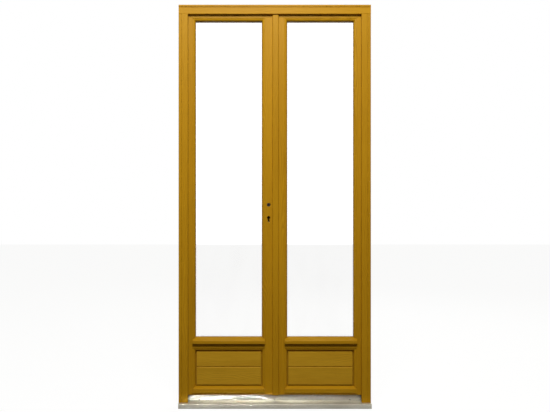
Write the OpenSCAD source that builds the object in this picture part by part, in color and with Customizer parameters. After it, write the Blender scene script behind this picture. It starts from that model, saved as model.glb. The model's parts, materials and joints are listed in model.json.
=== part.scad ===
// French doors: two timber leaves that open inwards, in their own frame on a metal threshold.
// X runs across the doors, Y from the outside (minus) to the room (plus), Z up.
// The origin is under the threshold, half way across, in the plane of the frame's outer face.

/* [Overall size] */
// Width over the frame
frame_w = 1038; // [860:1:1400]
// Height from under the threshold to the top of the head
frame_h = 2174; // [1800:1:2650]

/* [Frame] */
// Face width of the two frame stiles
stile_face = 50; // [46:1:80]
// Face height of the head
head_face = 50; // [46:1:90]
// Thickness of the outer lip that the leaves close behind
lip_t = 14; // [10:1:20]
// How far that lip covers the edge of a leaf
lip_cover = 8; // [5:1:12]
// Radius worked on the outer arrises of the timber
arris_r = 2; // [1:0.5:4]
// Width of the saw groove down the stiles and along the head
groove_w = 3; // [2:0.5:5]
// Distance from the outer edge of the frame to that groove
groove_inset = 15; // [10:1:20]
// Radius of the holes for the wall fixings
fixing_r = 3.5; // [3:0.5:5]

/* [Threshold] */
// Height of the threshold under the leaves
threshold_h = 60; // [50:1:80]
// Height of its nose, at the front edge
nose_h = 25; // [20:1:30]
// How far the nose stands out in front of the frame
nose_out = 22; // [10:1:40]
// Wall thickness of the metal section
metal_wall = 2.5; // [2:0.5:4]
// Radius of the drain holes
drain_r = 3.5; // [2:0.5:4]
// Distance from the middle to each outer drain hole
drain_x = 410; // [250:1:410]

/* [Leaves] */
// Thickness of a leaf
leaf_t = 68; // [64:1:84]
// Width of timber from a leaf's outer edge to its moulding
hinge_flat = 33; // [31:0.5:60]
// Width of timber from a leaf's meeting edge to its moulding
meeting_flat = 49.5; // [46:0.5:70]
// Height of timber from a leaf's top edge to its moulding
top_flat = 26; // [24:0.5:60]
// Width of the moulding worked round the glass and the panel
moulding_w = 14; // [12:0.5:20]
// Depth of that moulding
moulding_d = 12; // [8:0.5:13]
// Depth of the small step where that moulding leaves the flat of the timber
quirk_d = 1.5; // [0.5:0.5:3]
// Air gap between a leaf and the frame
edge_gap = 4; // [3:0.5:6]
// Gap between the meeting edges of the two leaves
meeting_gap = 8; // [8:0.5:10]
// Thickness of the flange that covers the frame on the room side
flange_t = 17; // [15:1:20]
// How far the flange stands past a leaf's edge
flange_w = 20; // [16:1:24]
// Height of the lower edge of the glass opening
sill_z = 375; // [330:1:700]
// Height of the upper edge of the panel opening
panel_top = 302; // [260:1:630]
// Height of the lower edge of the panel opening
panel_bottom = 110; // [100:1:150]
// How far the drip nose of the middle rail stands out from the leaf
sill_out = 17; // [8:1:24]
// How far the drip moulding of the bottom rail stands out from the leaf
drip_out = 10; // [6:1:18]
// Width of the cover strip over the meeting edges
astragal_w = 33; // [28:1:50]
// Thickness of that cover strip
astragal_t = 12; // [8:1:14]
// How far the cover strip laps over the leaf that opens first
astragal_lap = 12; // [8:1:14]

/* [Glass and panel] */
// Thickness of one pane
pane_t = 4; // [3:1:6]
// Gap between the two panes
pane_gap = 16; // [10:1:16]
// Thickness of the glazing tape on each side of the glass
tape_t = 3; // [2:0.5:4]
// How far the glass enters its rebate
glass_bite = 11; // [8:1:13]
// How far the raised field stands in front of the timber that holds the panel
field_rise = 8; // [5:1:14]
// Depth of the sunk margin round that field, behind the same timber
margin_sink = 5; // [2:1:8]
// Distance from the panel opening to the flat of the raised field
field_margin = 7; // [6:1:30]
// Height of the joint between the two boards of the panel, above the panel opening
board_joint = 103; // [60:1:150]

/* [Hinges] */
// Radius of the hinge barrels
barrel_r = 7; // [6:0.5:8]
// Length of one half of a barrel
barrel_l = 36; // [25:1:50]
// Radius of the hinge pins and of the screwed shanks
pin_r = 3.5; // [3:0.25:4]
// Distance from each end of a leaf to the middle of its end hinge
hinge_inset = 180; // [120:1:300]

/* [Lock] */
// Height of the handle spindle
spindle_z = 1094; // [950:1:1150]
// Distance from the meeting edge to the spindle
backset = 28.5; // [28:0.5:35]
// Distance down from the spindle to the key cylinder
key_drop = 70; // [70:1:92]
// Side of the square hole for the spindle
square_side = 7.2; // [7.2:0.1:8.2]
// Travel of the two locking rods
rod_travel = 14; // [12:1:16]
// Travel of the dead bolt
bolt_travel = 20; // [14:1:22]
// Travel of the two flush bolts in the second leaf
flush_travel = 16; // [12:1:20]
// Radius of the rod and bolt tips
tip_r = 4.5; // [4:0.25:4.5]

/* [Hidden] */
$fn = 48;

// Small steps past a surface that a cut has to clear
over = 1;
// Clearance round pieces that are fixed in timber
fit_gap = 0.2;
// Clearance between sliding pieces
slide_gap = 0.4;
// Radial running clearance of hinge pins and the follower's hubs
run_gap = 0.06;
// Gap left between a seal and the surface that it faces
seal_gap = 0.3;

// Depths, from the face of the frame towards the room
leaf_y = lip_t + edge_gap;
leaf_back = leaf_y + leaf_t;
flange_gap = 1;
flange_y = leaf_back - flange_t;
frame_d = flange_y - flange_gap;
glazing_lip = 16;
rebate_y = leaf_y + glazing_lip;
glass_y = rebate_y + tape_t;
unit_t = 2 * pane_t + pane_gap;
bead_y = glass_y + unit_t + tape_t;
bead_set = 2;
bead_back = leaf_back - bead_set;

// Widths, from the middle outwards
half_w = frame_w / 2;
lip_x = half_w - stile_face;
leaf_edge = lip_x + lip_cover;
frame_rebate = leaf_edge + edge_gap;
meet_x = meeting_gap / 2;
outer_line = leaf_edge - hinge_flat;
inner_line = meet_x + meeting_flat;
open_out = outer_line - moulding_w;
open_in = inner_line + moulding_w;
step_x = meet_x + flange_w - 2;

// Heights
foot_z = nose_h + 1;
lip_z = frame_h - head_face;
leaf_top = lip_z + lip_cover;
head_rebate = leaf_top + edge_gap;
leaf_bottom = threshold_h + edge_gap;
flange_top = leaf_top + flange_w;
flange_bottom = leaf_bottom - flange_w;
top_line = leaf_top - top_flat;
glass_top = top_line - moulding_w;
sill_seat = sill_z - moulding_w;
panel_line = panel_top + moulding_w;
panel_seat = panel_bottom - moulding_w;

// Tenons of the rails and of the frame stiles
tenon_l = 22;
tenon_t = 12;
tenon_inset = 6;
frame_tenon_w = 22;
frame_tenon_t = 20;
frame_tenon_l = 26;

// Hinges: the axis stands beside the flange's edge, in the middle of its thickness
axis_gap = 10;
axis_x = leaf_edge + flange_w + axis_gap;
axis_y = leaf_back - barrel_r;
shank_l = 40;
cap_h = 5;
half_gap = 0.3;
hinge_low = leaf_bottom + hinge_inset;
hinge_high = leaf_top - hinge_inset;
HINGE_Z = [hinge_low, (hinge_low + hinge_high) / 2, hinge_high];

// Lock furniture, in the meeting edge of the left leaf
furniture_w = 16;
plate_t = 3;
channel_d = 10;
edge_y = (leaf_y + flange_y) / 2;
furniture_y0 = edge_y - furniture_w / 2;
furniture_y1 = edge_y + furniture_w / 2;
bore_end = furniture_y1 + 5;
plate_x = meet_x + plate_t;
channel_x = plate_x + channel_d;
spindle_x = -(meet_x + backset);
key_z = spindle_z - key_drop;
case_wall = 1.2;
slide_end = 8;
case_back = spindle_x - 13.5;
case_top = spindle_z + rod_travel + slide_end + 18;
case_bottom = key_z - 69;
hub_r = 7;
drum_r = rod_travel / (PI / 2);
spindle_hole_r = 10;
key_r = 8.7;
key_slot_w = 10.4;
key_slot_l = 24.7;
rod_w = 7;
rod_t = 4;
rod_x = plate_x + slide_gap;
rod_y = furniture_y0 + case_wall + slide_gap;
tip_x = plate_x + 0.5 + tip_r;
tip_l = 70;
tip_back = 1;
bar_back = max(rod_travel, flush_travel) + 6;
bolt_h = 24;
bolt_z = key_z - 52;
bolt_y = rod_y + rod_t + 0.9;
bolt_t = furniture_y1 - case_wall - slide_gap - bolt_y;
bolt_l = 36;
bolt_play = 0.7;
strike_r = tip_r + 1.5;
strike_plate_t = 2;
strike_plate_l = 64;
strike_depth = max(rod_travel, flush_travel) + 6;
flush_l = 200;

// Screws
screw_r = 1.8;
screw_head_r = 3.4;
screw_head_t = 2;
plate_screw_grip = 15;
frame_screw_r = 2.5;
frame_screw_head_r = 4.5;
frame_screw_head_t = 3;
frame_screw_l = 90;
FACEPLATE_SCREW_Z = [leaf_bottom + 100, (leaf_bottom + case_bottom) / 2, case_bottom - 15,
                     case_top + 15, (leaf_top + case_top) / 2, leaf_top - 100];
flush_screw_at = [120, flush_l - 15];
strike_screw_at = 24;
strike_margin = 36;
screw_y = furniture_y1 - 4;
FLUSH_SCREW_Z = [for (d = flush_screw_at) leaf_top - d];
STRIKE_SCREW_Z = [bolt_z - strike_screw_at, bolt_z + bolt_h + strike_screw_at];

// Wall fixings: an inner and an outer pair on each stile, set out from its middle
fixing_mid = frame_h / 2;
fixing_end = 287;
inner_pair = 600;
outer_pair = frame_h - 2 * fixing_end;
FIXING_Z = [for (span = [inner_pair, outer_pair], side = [-1, 1]) fixing_mid + side * span / 2];
fixing_y = frame_d / 2;
fixing_sink_r = 7;
fixing_sink_d = 5;

pine = [0.72, 0.53, 0.15];
alloy = [0.78, 0.78, 0.74];
steel = [0.62, 0.62, 0.63];
rubber = [0.12, 0.12, 0.12];
glass = [0.80, 0.90, 0.92, 0.35];

// ---- shapes used all over ----

// Extrudes an (x, z) outline from depth y0 to depth y1
module through(y0, y1) {
  translate([0, y1, 0]) rotate([90, 0, 0]) linear_extrude(y1 - y0) children();
}

// Extrudes a (y, z) outline from x0 to x1
module across(x0, x1) {
  translate([x0, 0, 0]) rotate([90, 0, 90]) linear_extrude(x1 - x0) children();
}

// Extrudes an (x, y) outline from z0 to z1
module upright(z0, z1) {
  translate([0, 0, z0]) linear_extrude(z1 - z0) children();
}

// A block given by its lowest and highest corners
module block(low, high) {
  translate(low) cube(high - low);
}

// A round bar along X, Y or Z
module bar_x(x0, x1, y, z, r) {
  translate([x0, y, z]) rotate([0, 90, 0]) cylinder(h = x1 - x0, r = r);
}
module bar_y(y0, y1, x, z, r) {
  translate([x, y1, z]) rotate([90, 0, 0]) cylinder(h = y1 - y0, r = r);
}
module bar_z(z0, z1, x, y, r) {
  translate([x, y, z0]) cylinder(h = z1 - z0, r = r);
}

// Points of a rounded corner about centre c, from angle a0 to angle a1
function arc(c, r, a0, a1, n = 4) =
  [for (i = [0:n]) c + r * [cos(a0 + (a1 - a0) * i / n), sin(a0 + (a1 - a0) * i / n)]];

// Points of the worked moulding, [distance from the line, depth], from the flat to the opening
function moulding(n = 8) = concat([[0, leaf_y]],
  [for (i = [0:n]) [moulding_w * sin(90 * i / n),
                    leaf_y + quirk_d + (moulding_d - quirk_d) * (1 - cos(90 * i / n))]]);

// The piece of the left leaf, and its mirror image in the right leaf
module other_side() {
  mirror([1, 0, 0]) children();
}

// ---- frame ----

// Section of the left frame stile, with its lip, rebate and face groove
module frame_stile_section() {
  difference() {
    polygon(concat(
      arc([-half_w + arris_r, arris_r], arris_r, 180, 270),
      arc([-lip_x - arris_r, arris_r], arris_r, 270, 360),
      [[-lip_x, lip_t], [-frame_rebate, lip_t], [-frame_rebate, frame_d], [-half_w, frame_d]]));
    translate([-half_w + groove_inset, -over]) square([groove_w, groove_w + over]);
  }
}

module frame_tenon(gap) {
  tenon_x = (half_w + frame_rebate) / 2;
  block([-tenon_x - frame_tenon_w / 2 - gap, lip_t - gap, lip_z - over],
        [-tenon_x + frame_tenon_w / 2 + gap, lip_t + frame_tenon_t + gap,
         lip_z + frame_tenon_l + gap]);
}

// Places of the screws that hold the head and the threshold to the stiles
module at_frame_screws() {
  for (side = [-1, 1]) {
    for (y = [frame_d / 2 + 12, frame_d - 8]) {
      translate([side * (half_w + frame_rebate) / 2, y, 0]) children();
    }
  }
}

module frame_stile() {
  difference() {
    union() {
      upright(foot_z, lip_z) frame_stile_section();
      frame_tenon(0);
    }
    for (z = FIXING_Z) {
      bar_x(-half_w - over, -frame_rebate + over, fixing_y, z, fixing_r);
      bar_x(-frame_rebate - fixing_sink_d, -frame_rebate + over, fixing_y, z, fixing_sink_r);
    }
    for (z = HINGE_Z) {
      bar_y(frame_d - shank_l - fit_gap, frame_d + over, -axis_x, z - barrel_l / 2, pin_r + fit_gap);
    }
    at_frame_screws() {
      bar_z(frame_h - frame_screw_l - over, lip_z + over, 0, 0, frame_screw_r + fit_gap);
      bar_z(foot_z - over, foot_z + frame_screw_l, 0, 0, frame_screw_r + fit_gap);
    }
  }
}

module frame_left_stile() {
  color(pine) frame_stile();
}

module frame_right_stile() {
  color(pine) other_side() frame_stile();
}

module frame_head() {
  color(pine) difference() {
    across(-half_w, half_w) difference() {
      polygon(concat(
        arc([arris_r, lip_z + arris_r], arris_r, 270, 180),
        arc([arris_r, frame_h - arris_r], arris_r, 180, 90),
        [[frame_d, frame_h], [frame_d, lip_z]]));
      translate([-over, frame_h - groove_inset]) square([groove_w + over, groove_w + 1]);
    }
    block([-frame_rebate, lip_t, lip_z - over], [frame_rebate, frame_d + over, head_rebate]);
    frame_tenon(fit_gap);
    other_side() frame_tenon(fit_gap);
    at_frame_screws() {
      bar_z(lip_z - over, frame_h + over, 0, 0, frame_screw_r + fit_gap);
      bar_z(frame_h - frame_screw_head_t - fit_gap, frame_h + over, 0, 0,
            frame_screw_head_r + fit_gap);
    }
    for (side = [-1, 1]) {
      bar_z(head_rebate - over, head_rebate + strike_depth, side * tip_x, edge_y, strike_r);
      bar_z(head_rebate - over, head_rebate + 14, side * (strike_plate_l / 2 - 7), edge_y,
            screw_r + fit_gap);
    }
    block([-strike_plate_l / 2 - fit_gap, furniture_y0 - fit_gap, head_rebate - over],
          [strike_plate_l / 2 + fit_gap, furniture_y1 + fit_gap, head_rebate + strike_plate_t]);
  }
}

// Depths at which the threshold's slope ends and its upstand reaches its full height
slope_end = leaf_y + 12;
upstand_top = slope_end + 6;
slope_z = nose_h + 6;

// The section is hollow: three chambers under the feet and one in the upstand
module threshold_chambers() {
  third = (frame_d + nose_out - 4 * metal_wall) / 3;
  for (i = [0:2]) {
    top = i == 0 ? nose_h : foot_z;
    translate([-nose_out + metal_wall + i * (third + metal_wall), metal_wall]) {
      square([third, top - 2 * metal_wall]);
    }
  }
}

module threshold() {
  color(alloy) difference() {
    union() {
      across(-half_w, half_w) difference() {
        polygon([[-nose_out, 0], [frame_d, 0], [frame_d, foot_z],
                 [0, foot_z], [-nose_out + 1, nose_h], [-nose_out, nose_h - 1]]);
        threshold_chambers();
      }
      across(-frame_rebate, frame_rebate) difference() {
        polygon([[frame_d, foot_z], [frame_d, threshold_h], [upstand_top + 1, threshold_h],
                 [upstand_top, threshold_h - 1], [slope_end, slope_z],
                 [-nose_out + 1, nose_h], [0, foot_z]]);
        polygon([[slope_end + metal_wall, foot_z], [frame_d - metal_wall, foot_z],
                 [frame_d - metal_wall, threshold_h - metal_wall],
                 [upstand_top + metal_wall, threshold_h - metal_wall],
                 [slope_end + metal_wall, slope_z + 1]]);
      }
    }
    for (side = [-1, 1]) {
      block([side * (half_w + lip_x) / 2 - stile_face / 2, 0, foot_z],
            [side * (half_w + lip_x) / 2 + stile_face / 2, lip_t, threshold_h]);
      translate([side * (half_w + lip_x) / 2 - stile_face / 2, 0, 0]) {
        across(0, stile_face) {
          polygon([[-nose_out + 1, nose_h], [0, foot_z], [over, foot_z],
                   [over, threshold_h], [-nose_out + 1, threshold_h]]);
        }
      }
      bar_z(threshold_h - strike_depth, threshold_h + over, side * tip_x, edge_y, strike_r);
      bar_z(threshold_h - metal_wall - over, threshold_h + over,
            side * (strike_plate_l / 2 - 7), edge_y, screw_r + fit_gap);
    }
    for (x = [-drain_x, 0, drain_x]) {
      bar_y(slope_end - 10, slope_end + 2 * metal_wall + 2, x, slope_z + drain_r - 1, drain_r);
    }
    at_frame_screws() {
      bar_z(-over, foot_z + over, 0, 0, frame_screw_r + fit_gap);
      bar_z(-over, metal_wall + over, 0, 0, frame_screw_head_r + 1);
    }
  }
}

// Rubber strips on the back of the lips, facing the leaves
module frame_seals() {
  seal_w = 5;
  seal_inset = 1.5;
  seal_back = leaf_y - seal_gap;
  color(rubber) {
    for (side = [-1, 1]) {
      block([side * (lip_x + seal_inset + seal_w / 2) - seal_w / 2, lip_t, slope_z + 2],
            [side * (lip_x + seal_inset + seal_w / 2) + seal_w / 2, seal_back, lip_z]);
    }
    block([-lip_x, lip_t, lip_z + seal_inset], [lip_x, seal_back, lip_z + seal_inset + seal_w]);
  }
}

// Rubber strip along the top of the threshold
module threshold_seal() {
  color(rubber) block([-frame_rebate + 1, frame_d - 10, threshold_h],
                      [frame_rebate - 1, frame_d - 4, leaf_bottom - seal_gap]);
}

// Plate with two holes for the tips of the rods and bolts
module strike_plate() {
  difference() {
    block([-strike_plate_l / 2, furniture_y0, 0],
          [strike_plate_l / 2, furniture_y1, strike_plate_t]);
    for (side = [-1, 1]) {
      bar_z(-over, strike_plate_t + over, side * tip_x, edge_y, strike_r - 0.5);
      bar_z(-over, strike_plate_t + over, side * (strike_plate_l / 2 - 7), edge_y,
            screw_r + fit_gap);
    }
  }
}

module head_strike() {
  color(steel) translate([0, 0, head_rebate]) strike_plate();
}

module threshold_strike() {
  color(steel) translate([0, 0, threshold_h]) strike_plate();
}

module frame_screws() {
  color(steel) at_frame_screws() {
    bar_z(frame_h - frame_screw_l, frame_h - 1, 0, 0, frame_screw_r);
    bar_z(frame_h - frame_screw_head_t, frame_h, 0, 0, frame_screw_head_r);
    bar_z(foot_z - metal_wall - 1, foot_z + frame_screw_l - over, 0, 0, frame_screw_r);
    bar_z(foot_z - metal_wall - frame_screw_head_t, foot_z - metal_wall, 0, 0,
          frame_screw_head_r);
  }
}

// Screws of the head strike and the threshold strike
module strike_screws() {
  color(steel) for (side = [-1, 1]) {
    x = side * (strike_plate_l / 2 - 7);
    bar_z(head_rebate - 1, head_rebate + 13, x, edge_y, screw_r);
    bar_z(head_rebate - 1.2, head_rebate, x, edge_y, screw_head_r);
    bar_z(threshold_h - 12, threshold_h + strike_plate_t + 1, x, edge_y, screw_r);
    bar_z(threshold_h + strike_plate_t, threshold_h + strike_plate_t + 1.2, x, edge_y,
          screw_head_r);
  }
}

// ---- hinges: three on each leaf ----

// Lower half of each barrel, with its shank screwed into the frame
module frame_knuckles() {
  for (z = HINGE_Z) {
    difference() {
      union() {
        bar_z(z - barrel_l, z, -axis_x, axis_y, barrel_r);
        bar_y(frame_d - shank_l, axis_y, -axis_x, z - barrel_l / 2, pin_r);
        bar_z(z - barrel_l - cap_h, z - barrel_l + over, -axis_x, axis_y, barrel_r - 1.5);
      }
      bar_z(z - barrel_l + 4, z + over, -axis_x, axis_y, pin_r + run_gap);
    }
  }
}

// Upper half of each barrel, with its shank screwed into the leaf's flange
module leaf_knuckles() {
  for (z = HINGE_Z) {
    difference() {
      union() {
        bar_z(z + half_gap, z + barrel_l, -axis_x, axis_y, barrel_r);
        bar_x(-axis_x, -leaf_edge - flange_w + shank_l, axis_y, z + barrel_l / 2, pin_r);
      }
      bar_z(z - over, z + barrel_l + over, -axis_x, axis_y, pin_r + run_gap);
    }
  }
}

// Each pin stands in the lower half and ends in a round cap over the upper one
module hinge_pins() {
  for (z = HINGE_Z) {
    translate([-axis_x, axis_y, z]) rotate_extrude() {
      polygon(concat(
        [[0, -barrel_l + 4], [pin_r, -barrel_l + 4], [pin_r, barrel_l + half_gap],
         [barrel_r, barrel_l + half_gap], [barrel_r, barrel_l + 2]],
        arc([0, barrel_l + 2], barrel_r, 25, 90, 5)));
    }
  }
}

module left_frame_knuckles() {
  color(steel) frame_knuckles();
}
module left_hinge_pins() {
  color(steel) hinge_pins();
}
module left_leaf_knuckles() {
  color(steel) leaf_knuckles();
}
module right_frame_knuckles() {
  color(steel) other_side() frame_knuckles();
}
module right_hinge_pins() {
  color(steel) other_side() hinge_pins();
}
module right_leaf_knuckles() {
  color(steel) other_side() leaf_knuckles();
}

// ---- leaf timber, drawn as the left leaf ----

// Tenon of a rail between heights z0 and z1, at both ends
module rail_tenons(z0, z1, gap) {
  tenon_y = (rebate_y + leaf_back) / 2;
  block([-outer_line - tenon_l - gap, tenon_y - tenon_t / 2 - gap, z0 + tenon_inset - gap],
        [-inner_line + tenon_l / 2 + gap, tenon_y + tenon_t / 2 + gap, z1 - tenon_inset + gap]);
}

// Outline that mitres a rail's moulding into the stiles: the moulding ends at height edge_z
module mitred_face(line_z, edge_z, far_z) {
  polygon([[-outer_line, far_z], [-outer_line, line_z], [-open_out, edge_z],
           [-open_in, edge_z], [-inner_line, line_z], [-inner_line, far_z]]);
}

module top_rail_section() {
  polygon(concat(
    [for (p = moulding()) [p[1], top_line - p[0]]],
    [[rebate_y, glass_top], [rebate_y, top_line], [leaf_back, top_line],
     [leaf_back, flange_top], [flange_y, flange_top], [flange_y, leaf_top],
     [leaf_y, leaf_top]]));
}

module top_rail_body() {
  intersection() {
    across(-outer_line, -inner_line) top_rail_section();
    union() {
      through(leaf_y - over, rebate_y) mitred_face(top_line, glass_top, flange_top + over);
      block([-outer_line - over, rebate_y, top_line],
            [-inner_line + over, leaf_back + over, flange_top + over]);
    }
  }
}

module top_rail() {
  color(pine) union() {
    top_rail_body();
    rail_tenons(top_line, leaf_top, 0);
  }
}

nose_drop = 18;
nose_r = 4;
sill_fall = 14;
nose_top = sill_z - sill_fall;

module middle_rail_section() {
  nose_y = leaf_y - sill_out;
  polygon(concat(
    [for (p = moulding()) [p[1], panel_line - p[0]]],
    [[rebate_y, panel_top], [rebate_y, panel_line], [leaf_back, panel_line],
     [leaf_back, sill_seat], [rebate_y, sill_seat], [rebate_y, sill_z],
     [rebate_y - 2, sill_z]],
    arc([nose_y + nose_r, nose_top - nose_r], nose_r, 115, 180),
    [[nose_y, nose_top - nose_drop], [leaf_y - 12, nose_top - nose_drop],
     [leaf_y - 12, nose_top - nose_drop + 3], [leaf_y - 8, nose_top - nose_drop + 3],
     [leaf_y - 8, nose_top - nose_drop], [leaf_y, nose_top - nose_drop]]));
}

module middle_rail_body() {
  intersection() {
    across(-outer_line, -inner_line) middle_rail_section();
    union() {
      through(leaf_y - sill_out - over, rebate_y) {
        mitred_face(panel_line, panel_top, sill_z + over);
      }
      block([-outer_line - over, rebate_y, panel_line],
            [-inner_line + over, leaf_back + over, sill_seat]);
      block([-open_out, rebate_y - over, panel_top], [-open_in, rebate_y, sill_z + over]);
    }
  }
}

module middle_rail() {
  color(pine) union() {
    middle_rail_body();
    rail_tenons(panel_line, sill_seat, 0);
  }
}

drip_drop = 11;
drip_face = 22;
drip_r = 3;

module bottom_rail_section() {
  drip_y = leaf_y - drip_out;
  drip_top = panel_bottom - drip_drop;
  polygon(concat(
    [[rebate_y, panel_seat], [rebate_y, panel_bottom], [rebate_y - 4, panel_bottom]],
    arc([drip_y + drip_r, drip_top - drip_r], drip_r, 120, 180),
    [[drip_y, drip_top - drip_face], [leaf_y, drip_top - drip_face - 6],
     [leaf_y, leaf_bottom], [flange_y, leaf_bottom], [flange_y, flange_bottom],
     [leaf_back, flange_bottom], [leaf_back, panel_seat]]));
}

module bottom_rail_body() {
  intersection() {
    across(-outer_line, -inner_line) bottom_rail_section();
    union() {
      through(leaf_y - drip_out - over, rebate_y) {
        polygon([[-outer_line, leaf_bottom - over], [-outer_line, panel_seat],
                 [-open_out, panel_bottom], [-open_in, panel_bottom],
                 [-inner_line, panel_seat], [-inner_line, leaf_bottom - over]]);
      }
      block([-outer_line - over, rebate_y, flange_bottom - over],
            [-inner_line + over, leaf_back + over, panel_seat]);
    }
  }
}

module bottom_rail() {
  color(pine) union() {
    bottom_rail_body();
    rail_tenons(leaf_bottom, panel_seat, 0);
  }
}

// Everything of the rails that the stiles make room for
module rail_room() {
  top_rail_body();
  middle_rail_body();
  bottom_rail_body();
  rail_tenons(top_line, leaf_top, fit_gap);
  rail_tenons(panel_line, sill_seat, fit_gap);
  rail_tenons(leaf_bottom, panel_seat, fit_gap);
}

module hinge_stile_body() {
  upright(leaf_bottom, leaf_top) polygon(concat(
    [[-leaf_edge, flange_y], [-leaf_edge, leaf_y + arris_r]],
    arc([-leaf_edge + arris_r, leaf_y + arris_r], arris_r, 180, 270),
    [for (p = moulding()) [-outer_line + p[0], p[1]]],
    [[-open_out, rebate_y], [-outer_line, rebate_y], [-outer_line, leaf_back],
     [-leaf_edge, leaf_back]]));
  block([-leaf_edge - flange_w, flange_y, flange_bottom], [-leaf_edge, leaf_back, flange_top]);
  block([-leaf_edge, flange_y, flange_bottom], [-outer_line, leaf_back, leaf_bottom]);
  block([-leaf_edge, flange_y, leaf_top], [-outer_line, leaf_back, flange_top]);
}

module hinge_stile() {
  color(pine) difference() {
    union() hinge_stile_body();
    rail_room();
    for (z = HINGE_Z) {
      bar_x(-leaf_edge - flange_w - over, -leaf_edge - flange_w + shank_l + fit_gap, axis_y,
            z + barrel_l / 2, pin_r + fit_gap);
    }
  }
}

// Meeting stile up to its edge, without anything past it
module meeting_stile_body() {
  upright(leaf_bottom, leaf_top) polygon(concat(
    [[-meet_x, leaf_back], [-inner_line, leaf_back], [-inner_line, rebate_y],
     [-open_in, rebate_y]],
    [for (i = [len(moulding()) - 1:-1:0]) [-inner_line - moulding()[i][0], moulding()[i][1]]],
    [[-meet_x, leaf_y]]));
  for (z = [[flange_bottom, leaf_bottom], [leaf_top, flange_top]]) {
    block([-inner_line, flange_y, z[0]], [-meet_x, leaf_back, z[1]]);
  }
}

// Hole for the key cylinder
module key_hole(y0, y1) {
  through(y0, y1) translate([spindle_x, key_z]) {
    circle(r = key_r);
    translate([0, -key_slot_l + key_slot_w / 2]) circle(r = key_slot_w / 2);
    translate([-key_slot_w / 2, -key_slot_l + key_slot_w / 2]) {
      square([key_slot_w, key_slot_l - key_slot_w / 2]);
    }
  }
}

module left_meeting_stile() {
  color(pine) difference() {
    union() {
      meeting_stile_body();
      block([-meet_x, flange_y, flange_bottom], [step_x - edge_gap, leaf_back, flange_top]);
    }
    rail_room();
    block([-plate_x, furniture_y0, leaf_bottom - over],
          [-meet_x + over, furniture_y1, leaf_top + over]);
    block([-channel_x, furniture_y0, leaf_bottom - over],
          [-plate_x, furniture_y1, leaf_top + over]);
    block([case_back - slide_gap, furniture_y0, case_bottom - slide_gap],
          [-plate_x, furniture_y1, case_top + slide_gap]);
    bar_y(leaf_y - over, bore_end, spindle_x, spindle_z, spindle_hole_r);
    key_hole(leaf_y - over, bore_end);
    for (z = FACEPLATE_SCREW_Z) {
      other_side() plate_screw_room(z);
    }
  }
}

module at_leaf_foot() {
  translate([0, 0, leaf_top + leaf_bottom]) mirror([0, 0, 1]) children();
}

// Countersunk screw at a leaf's meeting edge, drawn in the right leaf
module plate_screw(z) {
  bar_x(meet_x + over, channel_x + plate_screw_grip, screw_y, z, screw_r);
  bar_x(meet_x, meet_x + screw_head_t, screw_y, z, screw_head_r);
}

module plate_screw_room(z) {
  bar_x(meet_x - over, channel_x + plate_screw_grip + over, screw_y, z, screw_r + fit_gap);
  bar_x(meet_x - over, meet_x + screw_head_t, screw_y, z, screw_head_r + fit_gap);
}

// Room for one flush bolt: its plate at the edge and its channel behind
module flush_room() {
  block([meet_x - over, furniture_y0, leaf_top - flush_l],
        [channel_x, furniture_y1, leaf_top + over]);
  for (z = FLUSH_SCREW_Z) {
    plate_screw_room(z);
  }
}

module right_meeting_stile() {
  color(pine) difference() {
    other_side() meeting_stile_body();
    other_side() rail_room();
    block([meet_x - over, flange_y - flange_gap, flange_bottom - over],
          [step_x, leaf_back + over, flange_top + over]);
    flush_room();
    at_leaf_foot() flush_room();
    block([meet_x - over, furniture_y0, bolt_z - strike_margin],
          [plate_x, furniture_y1, bolt_z + bolt_h + strike_margin]);
    block([meet_x - over, bolt_y - bolt_play, bolt_z - bolt_play],
          [bolt_travel - meet_x + 3, bolt_y + bolt_t + bolt_play, bolt_z + bolt_h + bolt_play]);
    for (z = STRIKE_SCREW_Z) {
      plate_screw_room(z);
    }
  }
}

module left_hinge_stile() {
  hinge_stile();
}
module left_top_rail() {
  top_rail();
}
module left_middle_rail() {
  middle_rail();
}
module left_bottom_rail() {
  bottom_rail();
}
module right_hinge_stile() {
  other_side() hinge_stile();
}
module right_top_rail() {
  other_side() top_rail();
}
module right_middle_rail() {
  other_side() middle_rail();
}
module right_bottom_rail() {
  other_side() bottom_rail();
}

// Cover strip on the outside of the right leaf, over the gap between the leaves
module astragal() {
  x1 = astragal_w - astragal_lap;
  top = lip_z - edge_gap;
  color(pine) upright(leaf_bottom, top) polygon(concat(
    [[x1, leaf_y], [0, leaf_y], [0, leaf_y - seal_gap], [-astragal_lap, leaf_y - seal_gap]],
    arc([-astragal_lap + 2 * arris_r, leaf_y - astragal_t + 2 * arris_r], 2 * arris_r, 180, 270),
    arc([x1 - 2 * arris_r, leaf_y - astragal_t + 2 * arris_r], 2 * arris_r, 270, 360)));
}

// ---- panel: two boards with a raised field ----

panel_play = 3;
step_w = 3;
tongue = 8;
tongue_t = 6;
joint_z = panel_bottom + board_joint;
field_y = rebate_y - field_rise;
joint_depth = 4;
margin_y = rebate_y + margin_sink;

// Outline across both boards, in (x, y)
module board_width() {
  polygon([[-outer_line + panel_play, bead_y], [-outer_line + panel_play, rebate_y],
           [-open_out, rebate_y], [-open_out, margin_y],
           [-open_out + field_margin - step_w, margin_y], [-open_out + field_margin, field_y],
           [-open_in - field_margin, field_y], [-open_in - field_margin + step_w, margin_y],
           [-open_in, margin_y], [-open_in, rebate_y],
           [-inner_line - panel_play, rebate_y], [-inner_line - panel_play, bead_y]]);
}

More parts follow.
